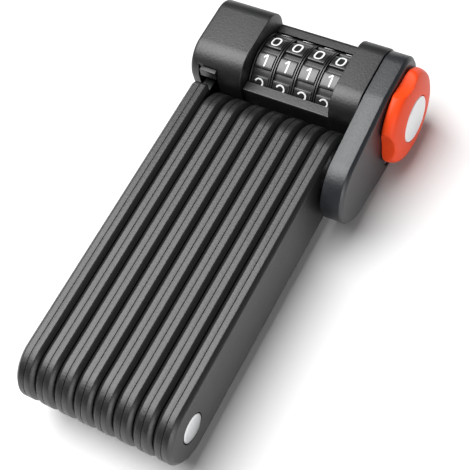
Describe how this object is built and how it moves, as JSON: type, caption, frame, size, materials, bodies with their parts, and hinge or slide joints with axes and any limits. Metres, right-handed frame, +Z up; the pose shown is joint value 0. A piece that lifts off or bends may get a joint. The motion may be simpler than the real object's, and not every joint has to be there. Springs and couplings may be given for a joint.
{
  "type": "folding bicycle lock",
  "caption": "Folding plate lock for a bicycle: jacketed steel links riveted in a zigzag, folded against a body with number wheels and a lobed turning knob.",
  "frame": {"origin": "centre of the bounding box's base, with the lock lying on its back", "axes": "+X across the stack of links towards the knob, +Y along the links towards the lock body, +Z up out of the number wheels"},
  "size_m": [0.086, 0.1724, 0.04],
  "materials": {
    "jacket": "fine textured black",
    "shell": "fine textured black",
    "steel": "satin hardened steel",
    "rivet": "bright satin",
    "wheel": "satin, white numbers",
    "brass": "turned",
    "knob": "satin orange red",
    "disc": "plain pale disc"
  },
  "bodies": {
    "lock_body": {"left_shell": "shell", "cradle": "shell", "right_collar": "shell", "end_cap": "shell", "tongue_guide": "shell", "detent_spring": "steel", "ear_washer": "steel", "ear_pin": "rivet", "tie_screw_1": "steel", "tie_screw_2": "steel"},
    "link_8": {"link_8_core": "steel", "link_8_jacket_left": "jacket", "link_8_jacket_right": "jacket", "rivet_7": "rivet"},
    "link_7": {"link_7_core": "steel", "link_7_jacket_left": "jacket", "link_7_jacket_right": "jacket", "rivet_6": "rivet"},
    "link_6": {"link_6_core": "steel", "link_6_jacket_left": "jacket", "link_6_jacket_right": "jacket", "rivet_5": "rivet"},
    "link_5": {"link_5_core": "steel", "link_5_jacket_left": "jacket", "link_5_jacket_right": "jacket", "rivet_4": "rivet"},
    "link_4": {"link_4_core": "steel", "link_4_jacket_left": "jacket", "link_4_jacket_right": "jacket", "rivet_3": "rivet"},
    "link_3": {"link_3_core": "steel", "link_3_jacket_left": "jacket", "link_3_jacket_right": "jacket", "rivet_2": "rivet"},
    "link_2": {"link_2_core": "steel", "link_2_jacket_left": "jacket", "link_2_jacket_right": "jacket", "rivet_1": "rivet"},
    "link_1": {"link_1_core": "steel", "link_1_jacket_left": "jacket", "link_1_jacket_right": "jacket"},
    "code_wheel_1": {"code_wheel_1": "wheel", "code_sleeve_1": "brass"},
    "code_wheel_2": {"code_wheel_2": "wheel", "code_sleeve_2": "brass"},
    "code_wheel_3": {"code_wheel_3": "wheel", "code_sleeve_3": "brass"},
    "code_wheel_4": {"code_wheel_4": "wheel", "code_sleeve_4": "brass"},
    "knob": {"knob": "knob", "knob_disc": "disc", "knob_shaft": "steel", "drive_sleeve": "steel"},
    "locking_bolt": {"locking_bolt": "steel", "bolt_pin": "steel"}
  },
  "joints": [
    {"name": "ear_pivot", "type": "hinge", "parent": "lock_body", "child": "link_8", "pos_m": [0.02605, 0.03665, 0.02], "axis": [1, 0, 0], "range_deg": [-90, 0]},
    {"name": "pivot_8_7", "type": "hinge", "parent": "link_8", "child": "link_7", "pos_m": [0.01705, -0.07235, 0.02], "axis": [1, 0, 0], "range_deg": [-180, 0]},
    {"name": "pivot_7_6", "type": "hinge", "parent": "link_7", "child": "link_6", "pos_m": [0.00905, 0.03665, 0.02], "axis": [1, 0, 0], "range_deg": [-90, 0]},
    {"name": "pivot_6_5", "type": "hinge", "parent": "link_6", "child": "link_5", "pos_m": [0.00105, -0.07235, 0.02], "axis": [1, 0, 0], "range_deg": [-180, 0]},
    {"name": "pivot_5_4", "type": "hinge", "parent": "link_5", "child": "link_4", "pos_m": [-0.00695, 0.03665, 0.02], "axis": [1, 0, 0], "range_deg": [-90, 0]},
    {"name": "pivot_4_3", "type": "hinge", "parent": "link_4", "child": "link_3", "pos_m": [-0.01495, -0.07235, 0.02], "axis": [1, 0, 0], "range_deg": [-180, 0]},
    {"name": "pivot_3_2", "type": "hinge", "parent": "link_3", "child": "link_2", "pos_m": [-0.02295, 0.03665, 0.02], "axis": [1, 0, 0], "range_deg": [-90, 0]},
    {"name": "pivot_2_1", "type": "hinge", "parent": "link_2", "child": "link_1", "pos_m": [-0.03095, -0.07235, 0.02], "axis": [1, 0, 0], "range_deg": [-180, 0]},
    {"name": "wheel_turn_1", "type": "hinge", "parent": "lock_body", "child": "code_wheel_1", "pos_m": [-0.0161, 0.06865, 0.02], "axis": [1, 0, 0], "continuous": true},
    {"name": "wheel_turn_2", "type": "hinge", "parent": "lock_body", "child": "code_wheel_2", "pos_m": [-0.007, 0.06865, 0.02], "axis": [1, 0, 0], "continuous": true},
    {"name": "wheel_turn_3", "type": "hinge", "parent": "lock_body", "child": "code_wheel_3", "pos_m": [0.0021, 0.06865, 0.02], "axis": [1, 0, 0], "continuous": true},
    {"name": "wheel_turn_4", "type": "hinge", "parent": "lock_body", "child": "code_wheel_4", "pos_m": [0.0112, 0.06865, 0.02], "axis": [1, 0, 0], "continuous": true},
    {"name": "knob_turn", "type": "hinge", "parent": "lock_body", "child": "knob", "pos_m": [0.03905, 0.06865, 0.02], "axis": [1, 0, 0], "range_deg": [0, 90]},
    {"name": "bolt_slide", "type": "slide", "parent": "lock_body", "child": "locking_bolt", "axis": [-1, 0, 0], "range_m": [0, 0.006]}
  ],
  "couplings": [
    {"joint": "knob_turn", "follows": "bolt_slide", "rad_per_m": 261.8}
  ]
}
